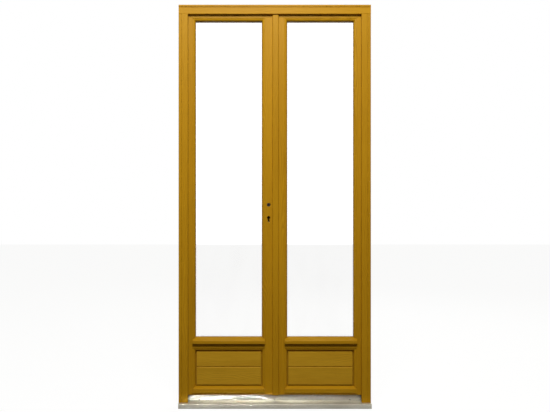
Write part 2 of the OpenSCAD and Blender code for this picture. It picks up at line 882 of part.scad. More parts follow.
module upper_board() {
  color(pine) intersection() {
    upright(panel_seat, panel_line) board_width();
    across(-outer_line, -inner_line) polygon([
      [bead_y, panel_line - panel_play], [bead_y, joint_z], [bead_y - 10, joint_z],
      [bead_y - 10, joint_z + tongue + fit_gap],
      [bead_y - 10 - tongue_t - 2 * fit_gap, joint_z + tongue + fit_gap],
      [bead_y - 10 - tongue_t - 2 * fit_gap, joint_z],
      [field_y + joint_depth, joint_z], [field_y, joint_z + joint_depth],
      [field_y, panel_top - field_margin], [margin_y, panel_top - field_margin + step_w],
      [margin_y, panel_top], [rebate_y, panel_top], [rebate_y, panel_line - panel_play]]);
  }
}

module lower_board() {
  color(pine) intersection() {
    upright(panel_seat, panel_line) board_width();
    across(-outer_line, -inner_line) polygon([
      [bead_y, joint_z], [bead_y, panel_seat + fit_gap], [rebate_y, panel_seat + fit_gap],
      [rebate_y, panel_bottom], [margin_y, panel_bottom],
      [margin_y, panel_bottom + field_margin - step_w],
      [field_y, panel_bottom + field_margin],
      [field_y, joint_z - joint_depth], [field_y + joint_depth, joint_z],
      [bead_y - 10 - tongue_t - fit_gap, joint_z],
      [bead_y - 10 - tongue_t - fit_gap, joint_z + tongue],
      [bead_y - 10 - fit_gap, joint_z + tongue], [bead_y - 10 - fit_gap, joint_z]]);
  }
}

module left_upper_board() {
  upper_board();
}
module left_lower_board() {
  lower_board();
}
module right_upper_board() {
  other_side() upper_board();
}
module right_lower_board() {
  other_side() lower_board();
}

// ---- glass ----

glass_out = open_out + glass_bite;
glass_in = open_in - glass_bite;
glass_low = sill_z - glass_bite;
glass_high = glass_top + glass_bite;

module glass_outline(inset) {
  translate([-glass_out + inset, glass_low + inset]) {
    square([glass_out - glass_in - 2 * inset, glass_high - glass_low - 2 * inset]);
  }
}

module pane(y) {
  color(glass) through(y, y + pane_t) glass_outline(0);
}

module pane_spacer() {
  spacer_w = 6;
  spacer_inset = 1;
  color(alloy) through(glass_y + pane_t, glass_y + pane_t + pane_gap) difference() {
    glass_outline(spacer_inset);
    glass_outline(spacer_inset + spacer_w);
  }
}

module glazing_tapes() {
  color(rubber) for (y = [rebate_y, glass_y + unit_t]) {
    through(y, y + tape_t) difference() {
      glass_outline(0);
      glass_outline(glass_bite - 6);
    }
  }
}

// Blocks that carry the weight of the glass
module setting_blocks() {
  block_l = 60;
  color(rubber) for (share = [1 / 4, 3 / 4]) {
    x = -glass_out + (glass_out - glass_in) * share;
    block([x - block_l / 2, glass_y, sill_seat], [x + block_l / 2, glass_y + unit_t, glass_low]);
  }
}

// Beads on the room side: two uprights with two rails between them
bead_w = moulding_w - 4;
bead_slope = 5;

// Points of a bead's section, [distance from the rebate, depth into the room]
function bead_outline() = let (depth = bead_back - bead_y)
  [[0, 0], [bead_w, 0], [bead_w, depth / 2], [bead_w - bead_slope, depth], [0, depth]];

module beads(low, high) {
  for (end = [[low, 1], [high, -1]]) {
    across(-outer_line + bead_w + fit_gap, -inner_line - bead_w - fit_gap) {
      polygon([for (p = bead_outline()) [bead_y + p[1], end[0] + end[1] * p[0]]]);
    }
  }
  for (end = [[-outer_line, 1], [-inner_line, -1]]) {
    upright(low, high) {
      polygon([for (p = bead_outline()) [end[0] + end[1] * p[0], bead_y + p[1]]]);
    }
  }
}

module glass_beads() {
  color(pine) beads(sill_seat, top_line);
}

module panel_beads() {
  color(pine) beads(panel_seat, panel_line);
}

module left_outer_pane() {
  pane(glass_y);
}
module left_inner_pane() {
  pane(glass_y + pane_t + pane_gap);
}
module left_pane_spacer() {
  pane_spacer();
}
module left_glazing_tapes() {
  glazing_tapes();
}
module left_setting_blocks() {
  setting_blocks();
}
module left_glass_beads() {
  glass_beads();
}
module left_panel_beads() {
  panel_beads();
}
module right_outer_pane() {
  other_side() pane(glass_y);
}
module right_inner_pane() {
  other_side() pane(glass_y + pane_t + pane_gap);
}
module right_pane_spacer() {
  other_side() pane_spacer();
}
module right_glazing_tapes() {
  other_side() glazing_tapes();
}
module right_setting_blocks() {
  other_side() setting_blocks();
}
module right_glass_beads() {
  other_side() glass_beads();
}
module right_panel_beads() {
  other_side() panel_beads();
}

// ---- lock, in the left leaf ----

module lock_openings(y0, y1) {
  bar_y(y0, y1, spindle_x, spindle_z, hub_r + run_gap);
  key_hole(y0, y1);
}

// Tray of the case: outer plate, rear wall, and end walls that stop short of the rods
module lock_case() {
  y0 = furniture_y0;
  y1 = furniture_y1 - case_wall;
  color(steel) difference() {
    union() {
      block([case_back, y0, case_bottom], [-plate_x, y0 + case_wall, case_top]);
      block([case_back, y0, case_bottom], [case_back + case_wall, y1, case_top]);
      block([case_back, y0, case_top - case_wall], [-channel_x - 8, y1, case_top]);
      block([case_back, y0, case_bottom], [-channel_x - 8, y1, case_bottom + case_wall]);
    }
    lock_openings(y0 - over, y0 + case_wall + over);
  }
}

module lock_cover() {
  y1 = furniture_y1;
  color(steel) difference() {
    block([case_back, y1 - case_wall, case_bottom], [-plate_x, y1, case_top]);
    lock_openings(y1 - case_wall - over, y1 + over);
  }
}

module lock_faceplate() {
  color(steel) difference() {
    block([-plate_x, furniture_y0 + fit_gap, leaf_bottom + 1],
          [-meet_x, furniture_y1 - fit_gap, leaf_top - 1]);
    block([-plate_x - over, bolt_y - seal_gap, bolt_z - seal_gap],
          [-meet_x + over, bolt_y + bolt_t + seal_gap, bolt_z + bolt_h + seal_gap]);
    for (z = FACEPLATE_SCREW_Z) {
      other_side() plate_screw_room(z);
    }
  }
}

module faceplate_screws() {
  color(steel) for (z = FACEPLATE_SCREW_Z) {
    other_side() plate_screw(z);
  }
}

// Turned by the handle's square spindle, it drives the two rods up and down
module lock_follower() {
  color(steel) difference() {
    union() {
      bar_y(furniture_y0 + 0.2, furniture_y1 - 0.2, spindle_x, spindle_z, hub_r);
      bar_y(furniture_y0 + case_wall + slide_gap, furniture_y1 - case_wall - slide_gap,
            spindle_x, spindle_z, drum_r);
    }
    block([spindle_x - square_side / 2, furniture_y0 - over, spindle_z - square_side / 2],
          [spindle_x + square_side / 2, furniture_y1 + over, spindle_z + square_side / 2]);
  }
}

// A flat bar with its slide beside the follower and a round tip at the far end
module top_rod() {
  slide_x = spindle_x + drum_r + slide_gap;
  color(steel) union() {
    block([slide_x, rod_y, spindle_z - rod_travel - slide_end],
          [-rod_x, rod_y + rod_t, spindle_z + slide_end]);
    block([-rod_x - rod_w, rod_y, spindle_z], [-rod_x, rod_y + rod_t, leaf_top - bar_back]);
    bar_z(leaf_top - tip_l, leaf_top - tip_back, -tip_x, edge_y, tip_r);
  }
}

module bottom_rod() {
  slide_x = spindle_x - drum_r - slide_gap;
  back_x = case_back + case_wall + slide_gap;
  bridge_top = spindle_z - rod_travel - slide_end - 2;
  bridge_h = 10;
  color(steel) union() {
    block([back_x, rod_y, bridge_top - bridge_h],
          [slide_x, rod_y + rod_t, spindle_z + rod_travel + slide_end]);
    block([back_x, rod_y, bridge_top - bridge_h], [-rod_x, rod_y + rod_t, bridge_top]);
    block([-rod_x - rod_w, rod_y, leaf_bottom + bar_back], [-rod_x, rod_y + rod_t, bridge_top]);
    bar_z(leaf_bottom + tip_back, leaf_bottom + tip_l, -tip_x, edge_y, tip_r);
  }
}

module dead_bolt() {
  color(steel) block([-meet_x - bolt_l, bolt_y, bolt_z],
                     [-meet_x, bolt_y + bolt_t, bolt_z + bolt_h]);
}

// ---- flush bolts and strike, in the meeting edge of the right leaf ----

thumb_l = 14;
thumb_w = 5;

// The top bolt, from its tip down: a round tip, a flat bar and a thumb piece in the plate
module flush_bolt() {
  block([rod_x, edge_y - rod_t, leaf_top - flush_l + 30],
        [rod_x + rod_w, edge_y + 1.5, leaf_top - bar_back]);
  bar_z(leaf_top - tip_l, leaf_top - tip_back, tip_x, edge_y, tip_r);
  block([meet_x + slide_gap, edge_y - thumb_w / 2, leaf_top - flush_l / 2],
        [rod_x + over, edge_y + thumb_w / 2, leaf_top - flush_l / 2 + thumb_l]);
}

module flush_bolt_top() {
  color(steel) flush_bolt();
}

module flush_bolt_bottom() {
  color(steel) at_leaf_foot() flush_bolt();
}

module flush_plate() {
  thumb_z = leaf_top - flush_l / 2;
  difference() {
    block([meet_x, furniture_y0 + fit_gap, leaf_top - flush_l + fit_gap],
          [plate_x, furniture_y1 - fit_gap, leaf_top - 1]);
    block([meet_x - over, edge_y - thumb_w / 2 - slide_gap, thumb_z - over],
          [plate_x + over, edge_y + thumb_w / 2 + slide_gap,
           thumb_z + thumb_l + flush_travel + over]);
    for (z = FLUSH_SCREW_Z) {
      plate_screw_room(z);
    }
  }
}

module flush_bolt_plates() {
  color(steel) {
    flush_plate();
    at_leaf_foot() flush_plate();
  }
}

module bolt_strike() {
  color(steel) difference() {
    block([meet_x, furniture_y0 + fit_gap, bolt_z - strike_margin + fit_gap],
          [plate_x, furniture_y1 - fit_gap, bolt_z + bolt_h + strike_margin - fit_gap]);
    block([meet_x - over, bolt_y - bolt_play, bolt_z - bolt_play],
          [plate_x + over, bolt_y + bolt_t + bolt_play, bolt_z + bolt_h + bolt_play]);
    for (z = STRIKE_SCREW_Z) {
      plate_screw_room(z);
    }
  }
}

// Screws of the two flush bolt plates and of the strike between them
module flush_screws() {
  color(steel) {
    for (z = FLUSH_SCREW_Z) {
      plate_screw(z);
      at_leaf_foot() plate_screw(z);
    }
    for (z = STRIKE_SCREW_Z) {
      plate_screw(z);
    }
  }
}

frame_head();
frame_left_stile();
frame_right_stile();
threshold();
frame_seals();
threshold_seal();
head_strike();
threshold_strike();
frame_screws();
strike_screws();
left_frame_knuckles();
left_hinge_pins();
left_leaf_knuckles();
right_frame_knuckles();
right_hinge_pins();
right_leaf_knuckles();
left_hinge_stile();
left_meeting_stile();
left_top_rail();
left_middle_rail();
left_bottom_rail();
left_upper_board();
left_lower_board();
left_outer_pane();
left_inner_pane();
left_pane_spacer();
left_glazing_tapes();
left_setting_blocks();
left_glass_beads();
left_panel_beads();
right_hinge_stile();
right_meeting_stile();
right_top_rail();
right_middle_rail();
right_bottom_rail();
right_upper_board();
right_lower_board();
right_outer_pane();
right_inner_pane();
right_pane_spacer();
right_glazing_tapes();
right_setting_blocks();
right_glass_beads();
right_panel_beads();
astragal();
lock_case();
lock_cover();
lock_faceplate();
lock_follower();
top_rod();
bottom_rod();
dead_bolt();
faceplate_screws();
flush_bolt_top();
flush_bolt_bottom();
flush_bolt_plates();
bolt_strike();
flush_screws();
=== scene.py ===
"""French doors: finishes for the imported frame, small modelled pieces, and a studio to see them in."""

import json
import math

import bpy
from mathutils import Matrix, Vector


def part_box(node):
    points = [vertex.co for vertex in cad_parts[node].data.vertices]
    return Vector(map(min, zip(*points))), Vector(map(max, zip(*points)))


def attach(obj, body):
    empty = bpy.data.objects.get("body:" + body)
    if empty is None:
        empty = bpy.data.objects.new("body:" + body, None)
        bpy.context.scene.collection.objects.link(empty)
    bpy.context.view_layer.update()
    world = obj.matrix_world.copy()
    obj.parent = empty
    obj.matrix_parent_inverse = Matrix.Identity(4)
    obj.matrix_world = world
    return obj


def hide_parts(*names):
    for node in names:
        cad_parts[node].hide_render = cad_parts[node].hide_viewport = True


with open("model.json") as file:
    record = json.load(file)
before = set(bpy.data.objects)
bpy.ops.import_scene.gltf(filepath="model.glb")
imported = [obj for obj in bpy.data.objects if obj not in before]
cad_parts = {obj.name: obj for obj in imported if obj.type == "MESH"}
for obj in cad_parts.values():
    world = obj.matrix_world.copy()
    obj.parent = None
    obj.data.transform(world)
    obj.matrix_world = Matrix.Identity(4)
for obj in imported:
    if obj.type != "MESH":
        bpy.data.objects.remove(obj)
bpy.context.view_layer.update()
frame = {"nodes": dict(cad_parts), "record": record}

bl_info = {
    "name": "French doors",
    "version": (1, 0, 0),
    "blender": (4, 5, 0),
    "location": "View3D > Sidebar > Doors",
    "description": "Finishes a pair of glazed timber doors in their frame",
    "category": "Object",
}

SIDES = ("left", "right")
QUARTER = math.pi / 2
CLOSE = 1e-5


# ---- settings ----

class TimberSettings(bpy.types.PropertyGroup):
    """Stain and grain of the timber"""

    pale: bpy.props.FloatVectorProperty(
        name="Pale wood", description="Colour of the stained wood between its growth lines",
        default=(0.60, 0.305, 0.008), size=3, subtype="COLOR", min=0.0, max=1.0)
    dark: bpy.props.FloatVectorProperty(
        name="Dark wood", description="Colour of the stained growth lines",
        default=(0.37, 0.16, 0.002), size=3, subtype="COLOR", min=0.0, max=1.0)
    boards: bpy.props.FloatVectorProperty(
        name="Board wood", description="Colour of the paler wood of the panel boards",
        default=(0.68, 0.38, 0.022), size=3, subtype="COLOR", min=0.0, max=1.0)
    line_spacing: bpy.props.FloatProperty(
        name="Line spacing", description="Distance between growth lines",
        default=0.006, min=0.001, unit="LENGTH")
    line_strength: bpy.props.FloatProperty(
        name="Line strength", description="How much darker the growth lines are",
        default=0.45, min=0.0, max=1.0)
    arris: bpy.props.FloatProperty(
        name="Arris", description="Radius of the sanded arrises",
        default=0.0018, min=0.0, unit="LENGTH")
    varnish: bpy.props.FloatProperty(
        name="Varnish", description="Strength of the clear coat",
        default=0.03, min=0.0, max=1.0)


class MetalSettings(bpy.types.PropertyGroup):
    """Finish of the threshold and the ironmongery"""

    alloy: bpy.props.FloatVectorProperty(
        name="Threshold", description="Colour of the bare aluminium of the threshold",
        default=(0.86, 0.83, 0.69), size=3, subtype="COLOR", min=0.0, max=1.0)
    steel: bpy.props.FloatVectorProperty(
        name="Ironmongery", description="Colour of the plated steel",
        default=(0.60, 0.60, 0.58), size=3, subtype="COLOR", min=0.0, max=1.0)
    line_scale: bpy.props.FloatProperty(
        name="Brush lines", description="Brush lines to the metre across the metal",
        default=1400.0, min=1.0)
    drain_reach: bpy.props.FloatProperty(
        name="Outer drain holes", description="Distance from the middle to each outer drain hole",
        default=0.410, min=0.0, unit="LENGTH")
    drain_height: bpy.props.FloatProperty(
        name="Height of the drain holes", description="Height of their middle",
        default=0.0335, min=0.0, unit="LENGTH")


class GlazingSettings(bpy.types.PropertyGroup):
    """Glass and the sealant round it"""

    tint: bpy.props.FloatVectorProperty(
        name="Glass tint", description="Colour that light takes on in the glass",
        default=(1.0, 1.0, 1.0), size=3, subtype="COLOR", min=0.0, max=1.0)
    sealant: bpy.props.FloatVectorProperty(
        name="Sealant", description="Colour of the sealant fillet",
        default=(0.34, 0.19, 0.03), size=3, subtype="COLOR", min=0.0, max=1.0)
    fillet: bpy.props.FloatProperty(
        name="Fillet", description="Width of the sealant fillet on the outer pane",
        default=0.002, min=0.001, unit="LENGTH")


class StudioSettings(bpy.types.PropertyGroup):
    """Camera and lights"""

    camera_place: bpy.props.FloatVectorProperty(
        name="Camera", description="Where the camera stands",
        default=(-0.132, -3.5, 1.0856), size=3, subtype="TRANSLATION", unit="LENGTH")
    lens: bpy.props.FloatProperty(
        name="Lens", description="Focal length of the camera in millimetres",
        default=42.47, min=1.0)
    key_power: bpy.props.FloatProperty(
        name="Key light", description="Power of the main light in watts",
        default=112.0, min=0.0)
    low_power: bpy.props.FloatProperty(
        name="Low light", description="Power of the light near the floor in watts",
        default=0.025, min=0.0)
    fill_power: bpy.props.FloatProperty(
        name="Room light", description="Power of the light on the room side in watts",
        default=70.0, min=0.0)


# ---- small helpers for nodes ----

def node(tree, kind, values=None, **settings):
    """A new node with its settings and the values of its named or numbered sockets"""
    made = tree.nodes.new(kind)
    for key, value in settings.items():
        setattr(made, key, value)
    for key, value in (values or {}).items():
        made.inputs[key].default_value = value
    return made


def new_group(name, inputs, outputs):
    """A shader node group with typed sockets, and its two ends"""
    tree = bpy.data.node_groups.new(name, "ShaderNodeTree")
    kinds = {"f": "NodeSocketFloat", "c": "NodeSocketColor", "v": "NodeSocketVector"}
    for label, kind in inputs:
        tree.interface.new_socket(name=label, in_out="INPUT", socket_type=kinds[kind])
    for label, kind in outputs:
        tree.interface.new_socket(name=label, in_out="OUTPUT", socket_type=kinds[kind])
    return tree, tree.nodes.new("NodeGroupInput"), tree.nodes.new("NodeGroupOutput")


def stretched(tree, source, factors):
    """The place, stretched by a factor along each axis"""
    scale = node(tree, "ShaderNodeVectorMath", {1: factors}, operation="MULTIPLY")
    tree.links.new(source, scale.inputs[0])
    return scale.outputs[0]


def noise(tree, source, scale, detail=2.0, roughness=0.5):
    """The value of a noise pattern at a place"""
    made = node(tree, "ShaderNodeTexNoise",
                {"Scale": scale, "Detail": detail, "Roughness": roughness})
    tree.links.new(source, made.inputs["Vector"])
    return made.outputs[0]


def maths(tree, operation, first, second):
    """Two numbers or sockets put together"""
    made = node(tree, "ShaderNodeMath", operation=operation)
    for socket, value in zip(made.inputs, (first, second)):
        if isinstance(value, (int, float)):
            socket.default_value = value
        else:
            tree.links.new(value, socket)
    return made.outputs[0]


def ranged(tree, source, low, high, to_low, to_high):
    """A value moved from one range to another"""
    made = node(tree, "ShaderNodeMapRange", {
        "From Min": low, "From Max": high, "To Min": to_low, "To Max": to_high})
    tree.links.new(source, made.inputs["Value"])
    return made.outputs[0]


def blended(tree, share, first, second, mode="MIX"):
    """Two colours blended by a share"""
    made = node(tree, "ShaderNodeMix", data_type="RGBA", blend_type=mode)
    for index, value in ((0, share), (6, first), (7, second)):
        if isinstance(value, (int, float)):
            made.inputs[index].default_value = value
        elif isinstance(value, tuple):
            made.inputs[index].default_value = value
        else:
            tree.links.new(value, made.inputs[index])
    return made.outputs[2]


def solid(colour):
    """A colour with its alpha"""
    return (*colour[:3], 1.0)


# ---- shared effects ----

def build_grain():
    """Growth lines, fibres and broad tone of a board whose grain runs along Z"""
    tree, start, end = new_group(
        "Timber grain",
        (("Place", "v"), ("Pale", "c"), ("Dark", "c"), ("Line spacing", "f"),
         ("Line strength", "f")),
        (("Colour", "c"), ("Roughness", "f"), ("Height", "f")))
    place = start.outputs["Place"]
    drift = noise(tree, stretched(tree, place, (1.0, 1.0, 0.22)), 5.0, 2.0)
    ripple = noise(tree, stretched(tree, place, (1.0, 1.0, 0.30)), 34.0, 1.0)
    axes = node(tree, "ShaderNodeSeparateXYZ")
    tree.links.new(place, axes.inputs[0])
    across = maths(tree, "ADD", axes.outputs[0], maths(tree, "MULTIPLY", axes.outputs[1], 0.8))
    across = maths(tree, "ADD", across, maths(tree, "MULTIPLY", drift, 0.16))
    across = maths(tree, "ADD", across, maths(tree, "MULTIPLY", ripple, 0.006))
    ring = maths(tree, "FRACT", maths(tree, "DIVIDE", across, start.outputs["Line spacing"]), 0.0)
    line = node(tree, "ShaderNodeValToRGB")
    line.color_ramp.elements[0].position = 0.25
    line.color_ramp.elements[0].color = (0, 0, 0, 1)
    line.color_ramp.elements[1].position = 0.86
    line.color_ramp.elements[1].color = (1, 1, 1, 1)
    late = line.color_ramp.elements.new(1.0)
    late.color = (0.05, 0.05, 0.05, 1)
    tree.links.new(ring, line.inputs[0])
    fibre = noise(tree, stretched(tree, place, (1.0, 1.0, 0.018)), 620.0, 2.0, 0.6)
    pores = noise(tree, stretched(tree, place, (1.0, 1.0, 0.03)), 1500.0, 1.0)
    tone = noise(tree, stretched(tree, place, (1.0, 1.0, 0.15)), 9.0, 2.0)
    lines = maths(tree, "MULTIPLY", line.outputs[0], start.outputs["Line strength"])
    share = maths(tree, "ADD", lines, ranged(tree, fibre, 0.35, 0.65, -0.10, 0.22))
    share = maths(tree, "ADD", share, ranged(tree, tone, 0.3, 0.7, -0.12, 0.18))
    share = maths(tree, "ADD", share, ranged(tree, pores, 0.60, 0.72, 0.0, 0.22))
    limit = node(tree, "ShaderNodeClamp")
    tree.links.new(share, limit.inputs[0])
    colour = blended(tree, limit.outputs[0], start.outputs["Pale"], start.outputs["Dark"])
    tree.links.new(colour, end.inputs["Colour"])
    tree.links.new(ranged(tree, fibre, 0.3, 0.7, 0.36, 0.52), end.inputs["Roughness"])
    height = maths(tree, "SUBTRACT", maths(tree, "MULTIPLY", fibre, 0.6),
                   maths(tree, "MULTIPLY", line.outputs[0], 0.4))
    tree.links.new(height, end.inputs["Height"])
    return tree


def build_wear():
    """Rounded arrises, a mask of the worn ones, and masks of tight corners and of closed cavities where
    shade is painted into the colour
    """
    tree, start, end = new_group(
        "Edge wear and shade masks", (("Place", "v"), ("Radius", "f")),
        (("Worn", "f"), ("Corner shade", "f"), ("Cavity shade", "f"), ("Normal", "v")))
    bevel = node(tree, "ShaderNodeBevel", samples=6)
    tree.links.new(start.outputs["Radius"], bevel.inputs["Radius"])
    plain = node(tree, "ShaderNodeNewGeometry")
    facing = node(tree, "ShaderNodeVectorMath", operation="DOT_PRODUCT")
    tree.links.new(bevel.outputs[0], facing.inputs[0])
    tree.links.new(plain.outputs["Normal"], facing.inputs[1])
    edge = ranged(tree, facing.outputs["Value"], 0.995, 0.80, 0.0, 1.0)
    patches = ranged(tree, noise(tree, start.outputs["Place"], 28.0, 3.0), 0.42, 0.62, 0.15, 1.0)
    tree.links.new(maths(tree, "MULTIPLY", edge, patches), end.inputs["Worn"])
    # Painted shade: ambient occlusion finds the tight corners that the materials darken as shade.
    corner = node(tree, "ShaderNodeAmbientOcclusion", {"Distance": 0.012}, samples=4)
    shut = ranged(tree, corner.outputs["AO"], 0.35, 0.85, 1.0, 0.0)
    tree.links.new(shut, end.inputs["Corner shade"])
    # Painted shade: ambient occlusion finds closed cavities, such as the drain holes, that the metals
    # paint nearly black as shade.
    cavity = node(tree, "ShaderNodeAmbientOcclusion", {"Distance": 0.06}, samples=6)
    tree.links.new(ranged(tree, cavity.outputs["AO"], 0.26, 0.38, 1.0, 0.0),
                   end.inputs["Cavity shade"])
    tree.links.new(bevel.outputs[0], end.inputs["Normal"])
    return tree


def build_brushing():
    """Brush lines along X with dull patches"""
    tree, start, end = new_group(
        "Brushed metal", (("Place", "v"), ("Metal", "c"), ("Lines", "f"), ("Dullness", "f")),
        (("Colour", "c"), ("Roughness", "f"), ("Height", "f")))
    place = start.outputs["Place"]
    brush = node(tree, "ShaderNodeTexNoise", {"Detail": 2.0})
    tree.links.new(stretched(tree, place, (0.004, 1.0, 1.0)), brush.inputs["Vector"])
    tree.links.new(start.outputs["Lines"], brush.inputs["Scale"])
    cloud = noise(tree, stretched(tree, place, (0.4, 1.0, 1.0)), 11.0, 4.0, 0.6)
    spots = noise(tree, place, 160.0, 2.0)
    dull = maths(tree, "MULTIPLY", ranged(tree, cloud, 0.40, 0.70, 0.0, 1.0),
                 start.outputs["Dullness"])
    dull = maths(tree, "ADD", dull, ranged(tree, spots, 0.64, 0.74, 0.0, 0.25))
    darker = blended(tree, 1.0, start.outputs["Metal"], (0.62, 0.60, 0.56, 1.0), "MULTIPLY")
    tree.links.new(blended(tree, dull, start.outputs["Metal"], darker), end.inputs["Colour"])
    rough = maths(tree, "ADD", ranged(tree, brush.outputs[0], 0.3, 0.7, 0.30, 0.42),
                  maths(tree, "MULTIPLY", dull, 0.18))
    tree.links.new(rough, end.inputs["Roughness"])
    tree.links.new(brush.outputs[0], end.inputs["Height"])
    return tree


def shared_effects():
    """The shared effects, built once"""
    made = {"grain": ("Timber grain", build_grain), "wear": ("Edge wear and shade masks", build_wear),
            "brushing": ("Brushed metal", build_brushing)}
    return {key: bpy.data.node_groups.get(name) or build()
            for key, (name, build) in made.items()}


# ---- materials ----

def start_material(name, turn=(0.0, 0.0, 0.0), shift=(0.0, 0.0, 0.0)):
    """A new material: its tree, its shader and the place that its pattern reads"""
    material = bpy.data.materials.new(name)
    material.use_nodes = True
    tree = material.node_tree
    shader = tree.nodes["Principled BSDF"]
    coords = node(tree, "ShaderNodeTexCoord")
    mapping = node(tree, "ShaderNodeMapping", {"Rotation": turn, "Location": shift})
    tree.links.new(coords.outputs["Object"], mapping.inputs["Vector"])
    return material, tree, shader, mapping.outputs[0]


def grouped(tree, group, place, values):
    """A shared effect placed in a material with its own values"""
    made = node(tree, "ShaderNodeGroup", node_tree=group)
    for key, value in values.items():
        made.inputs[key].default_value = value
    tree.links.new(place, made.inputs["Place"])
    return made


def bumped(tree, shader, height, strength, distance, normal=None):
    """Feeds a height, over a normal if one is given, into the shader"""
    bump = node(tree, "ShaderNodeBump", {"Strength": strength, "Distance": distance})
    tree.links.new(height, bump.inputs["Height"])
    if normal is not None:
        tree.links.new(normal, bump.inputs["Normal"])
    tree.links.new(bump.outputs[0], shader.inputs["Normal"])


def timber(name, groups, settings, turn, shift, tone, pale):
    """Stained and varnished timber, with its grain along Z unless turned, and painted shade darkening
    its tight corners
    """
    material, tree, shader, place = start_material(name, turn, shift)
    grain = grouped(tree, groups["grain"], place, {
        "Pale": solid([c * tone for c in pale]),
        "Dark": solid([c * tone for c in settings.dark]),
        "Line spacing": settings.line_spacing, "Line strength": settings.line_strength})
    wear = grouped(tree, groups["wear"], place, {"Radius": settings.arris})
    worn = blended(tree, maths(tree, "MULTIPLY", wear.outputs["Worn"], 0.35),
                   grain.outputs["Colour"], solid([c * 1.25 for c in pale]))
    # Painted shade: the timber turns deep brown in tight corners and creases, where shade falls.
    dust_and_shade = blended(tree, maths(tree, "MULTIPLY", wear.outputs["Corner shade"], 0.15),
                    worn, solid([c * 0.45 for c in settings.dark]))
    tree.links.new(dust_and_shade, shader.inputs["Base Color"])
    tree.links.new(grain.outputs["Roughness"], shader.inputs["Roughness"])
    shader.inputs["Coat Weight"].default_value = settings.varnish
    shader.inputs["Coat Roughness"].default_value = 0.28
    shader.inputs["Specular IOR Level"].default_value = 0.08
    bumped(tree, shader, grain.outputs["Height"], 0.25, 0.0004, wear.outputs["Normal"])
    return material


def metal(name, groups, colour, lines, dullness, arris, metallic=1.0, cavity_shade=0.6):
    """Brushed metal with dull patches and softened edges, with painted shade darkening its tight
    corners and painting closed cavities nearly black
    """
    material, tree, shader, place = start_material(name)
    brushed = grouped(tree, groups["brushing"], place, {
        "Metal": solid(colour), "Lines": lines, "Dullness": dullness})
    wear = grouped(tree, groups["wear"], place, {"Radius": arris})
    worn = blended(tree, maths(tree, "MULTIPLY", wear.outputs["Worn"], 0.4),
                   brushed.outputs["Colour"], solid([min(1.0, c * 1.2) for c in colour]))
    # Painted shade: the metal darkens in tight corners, where shade falls.
    dust_and_shade = blended(tree, maths(tree, "MULTIPLY", wear.outputs["Corner shade"], 0.6),
                    worn, (0.14, 0.12, 0.09, 1.0))
    # Painted shade: closed cavities, such as the threshold's drain holes, turn nearly black as shade.
    cavity_shaded = blended(tree, maths(tree, "MULTIPLY", wear.outputs["Cavity shade"], cavity_shade),
                    dust_and_shade, (0.012, 0.010, 0.008, 1.0))
    tree.links.new(cavity_shaded, shader.inputs["Base Color"])
    tree.links.new(brushed.outputs["Roughness"], shader.inputs["Roughness"])
    shader.inputs["Metallic"].default_value = metallic
    bumped(tree, shader, brushed.outputs["Height"], 0.12, 0.0002, wear.outputs["Normal"])
    return material


def rubber(name, groups, colour, roughness):
    """Matt rubber or sealant with a fine skin and dust in its corners"""
    material, tree, shader, place = start_material(name)
    wear = grouped(tree, groups["wear"], place, {"Radius": 0.0006})
    skin = noise(tree, place, 900.0, 3.0)
    cloud = noise(tree, place, 22.0, 3.0)
    shade = blended(tree, ranged(tree, cloud, 0.3, 0.7, 0.0, 0.5),
                    solid(colour), solid([c * 1.8 + 0.01 for c in colour]))
    dust_and_shade = blended(tree, maths(tree, "MULTIPLY", wear.outputs["Worn"], 0.3),
                    shade, (0.22, 0.19, 0.15, 1.0))
    tree.links.new(dust_and_shade, shader.inputs["Base Color"])
    tree.links.new(ranged(tree, skin, 0.3, 0.7, roughness - 0.08, roughness + 0.08),
                   shader.inputs["Roughness"])
    bumped(tree, shader, skin, 0.2, 0.0002, wear.outputs["Normal"])
    return material


def clear_glass(name, tint):
    """Clear float glass with faint wipe marks"""
    material, tree, shader, place = start_material(name)
    marks = noise(tree, stretched(tree, place, (1.0, 1.0, 0.35)), 14.0, 3.0, 0.6)
    tree.links.new(ranged(tree, marks, 0.55, 0.75, 0.0, 0.03), shader.inputs["Roughness"])
    shade = blended(tree, ranged(tree, marks, 0.4, 0.7, 0.0, 1.0),
                    solid(tint), solid([c * 0.99 for c in tint]))
    tree.links.new(shade, shader.inputs["Base Color"])
    shader.inputs["Transmission Weight"].default_value = 1.0
    shader.inputs["IOR"].default_value = 1.5
    return material


# ---- pieces ----

def finish_nodes(names, material):
    """Puts a material on CAD nodes"""
    for name in names:
        made = frame["nodes"][name]
        made.data.materials.clear()
        made.data.materials.append(material)


def pick_nothing():
    """Leaves edit mode and deselects every object"""
    if bpy.context.object and bpy.context.object.mode != "OBJECT":
        bpy.ops.object.mode_set(mode="OBJECT")
    bpy.ops.object.select_all(action="DESELECT")


def pick(kind, wanted):
    """Selects the vertices, edges or faces whose middle the test wants, in edit mode"""
    bpy.ops.mesh.select_mode(type=kind)
    bpy.ops.mesh.select_all(action="DESELECT")
    bpy.ops.object.mode_set(mode="OBJECT")
    mesh = bpy.context.object.data
    turn = bpy.context.object.matrix_world
    places = [turn @ v.co for v in mesh.vertices]
    parts = {"VERT": mesh.vertices, "EDGE": mesh.edges, "FACE": mesh.polygons}[kind]
    for part in parts:
        corners = [part.index] if kind == "VERT" else list(part.vertices)
        middle = sum((places[i] for i in corners), Vector()) / len(corners)
        part.select = bool(wanted(middle))
    bpy.ops.object.mode_set(mode="EDIT")


def spread(name, axis, gap=0.004):
    """Boxes of the separate solids of a CAD node that stand more than a gap apart along an axis"""
    points = sorted((v.co for v in frame["nodes"][name].data.vertices), key=lambda p: p[axis])
    sets = [[points[0]]]
    for point in points[1:]:
        if point[axis] - sets[-1][-1][axis] > gap:
            sets.append([])
        sets[-1].append(point)
    return [(Vector(map(min, *group)), Vector(map(max, *group))) for group in sets]


